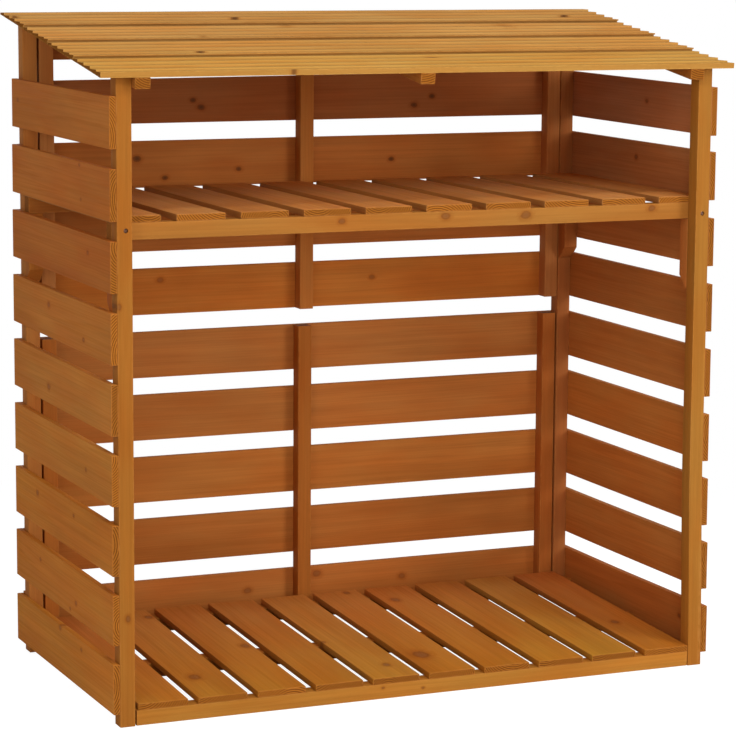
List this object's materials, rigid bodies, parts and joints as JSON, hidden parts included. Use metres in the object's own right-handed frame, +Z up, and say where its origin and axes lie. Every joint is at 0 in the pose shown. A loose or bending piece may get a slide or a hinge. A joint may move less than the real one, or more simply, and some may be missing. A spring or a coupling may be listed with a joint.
{
  "type": "log store",
  "caption": "Open-fronted slatted timber log store with a slatted floor, an upper shelf and a sloping roof of ridged boards.",
  "frame": {"origin": "on the ground, below the middle of the whole store", "axes": "+Z up, +X to the right of someone facing the open front, +Y from the open front to the back wall"},
  "size_m": [1.222, 0.6204, 1.2252],
  "materials": {
    "frame_wood": "honey-stained planed softwood",
    "slat_wood": "honey-stained planed softwood",
    "roof_wood": "honey-stained ridged softwood",
    "screws": "dull zinc-plated screw heads"
  },
  "bodies": {
    "root": {"front_left_post": "frame_wood", "front_right_post": "frame_wood", "rear_left_post": "frame_wood", "rear_right_post": "frame_wood", "left_wall_slats": "slat_wood", "right_wall_slats": "slat_wood", "lower_back_slats": "slat_wood", "upper_back_slats": "slat_wood", "lower_left_batten": "frame_wood", "upper_left_batten": "frame_wood", "lower_middle_batten": "frame_wood", "upper_middle_batten": "frame_wood", "lower_right_batten": "frame_wood", "upper_right_batten": "frame_wood", "left_rafter": "frame_wood", "middle_rafter": "frame_wood", "right_rafter": "frame_wood", "roof_board_1": "roof_wood", "roof_board_2": "roof_wood", "roof_board_3": "roof_wood", "roof_board_4": "roof_wood", "floor_slats": "slat_wood", "floor_front_rail": "frame_wood", "floor_middle_bearer": "frame_wood", "floor_rear_bearer": "frame_wood", "shelf_slats": "slat_wood", "shelf_front_rail": "frame_wood", "shelf_rear_rail": "frame_wood", "shelf_front_left_cleat": "frame_wood", "shelf_front_right_cleat": "frame_wood", "shelf_rear_left_cleat": "frame_wood", "shelf_rear_right_cleat": "frame_wood"}
  },
  "joints": []
}
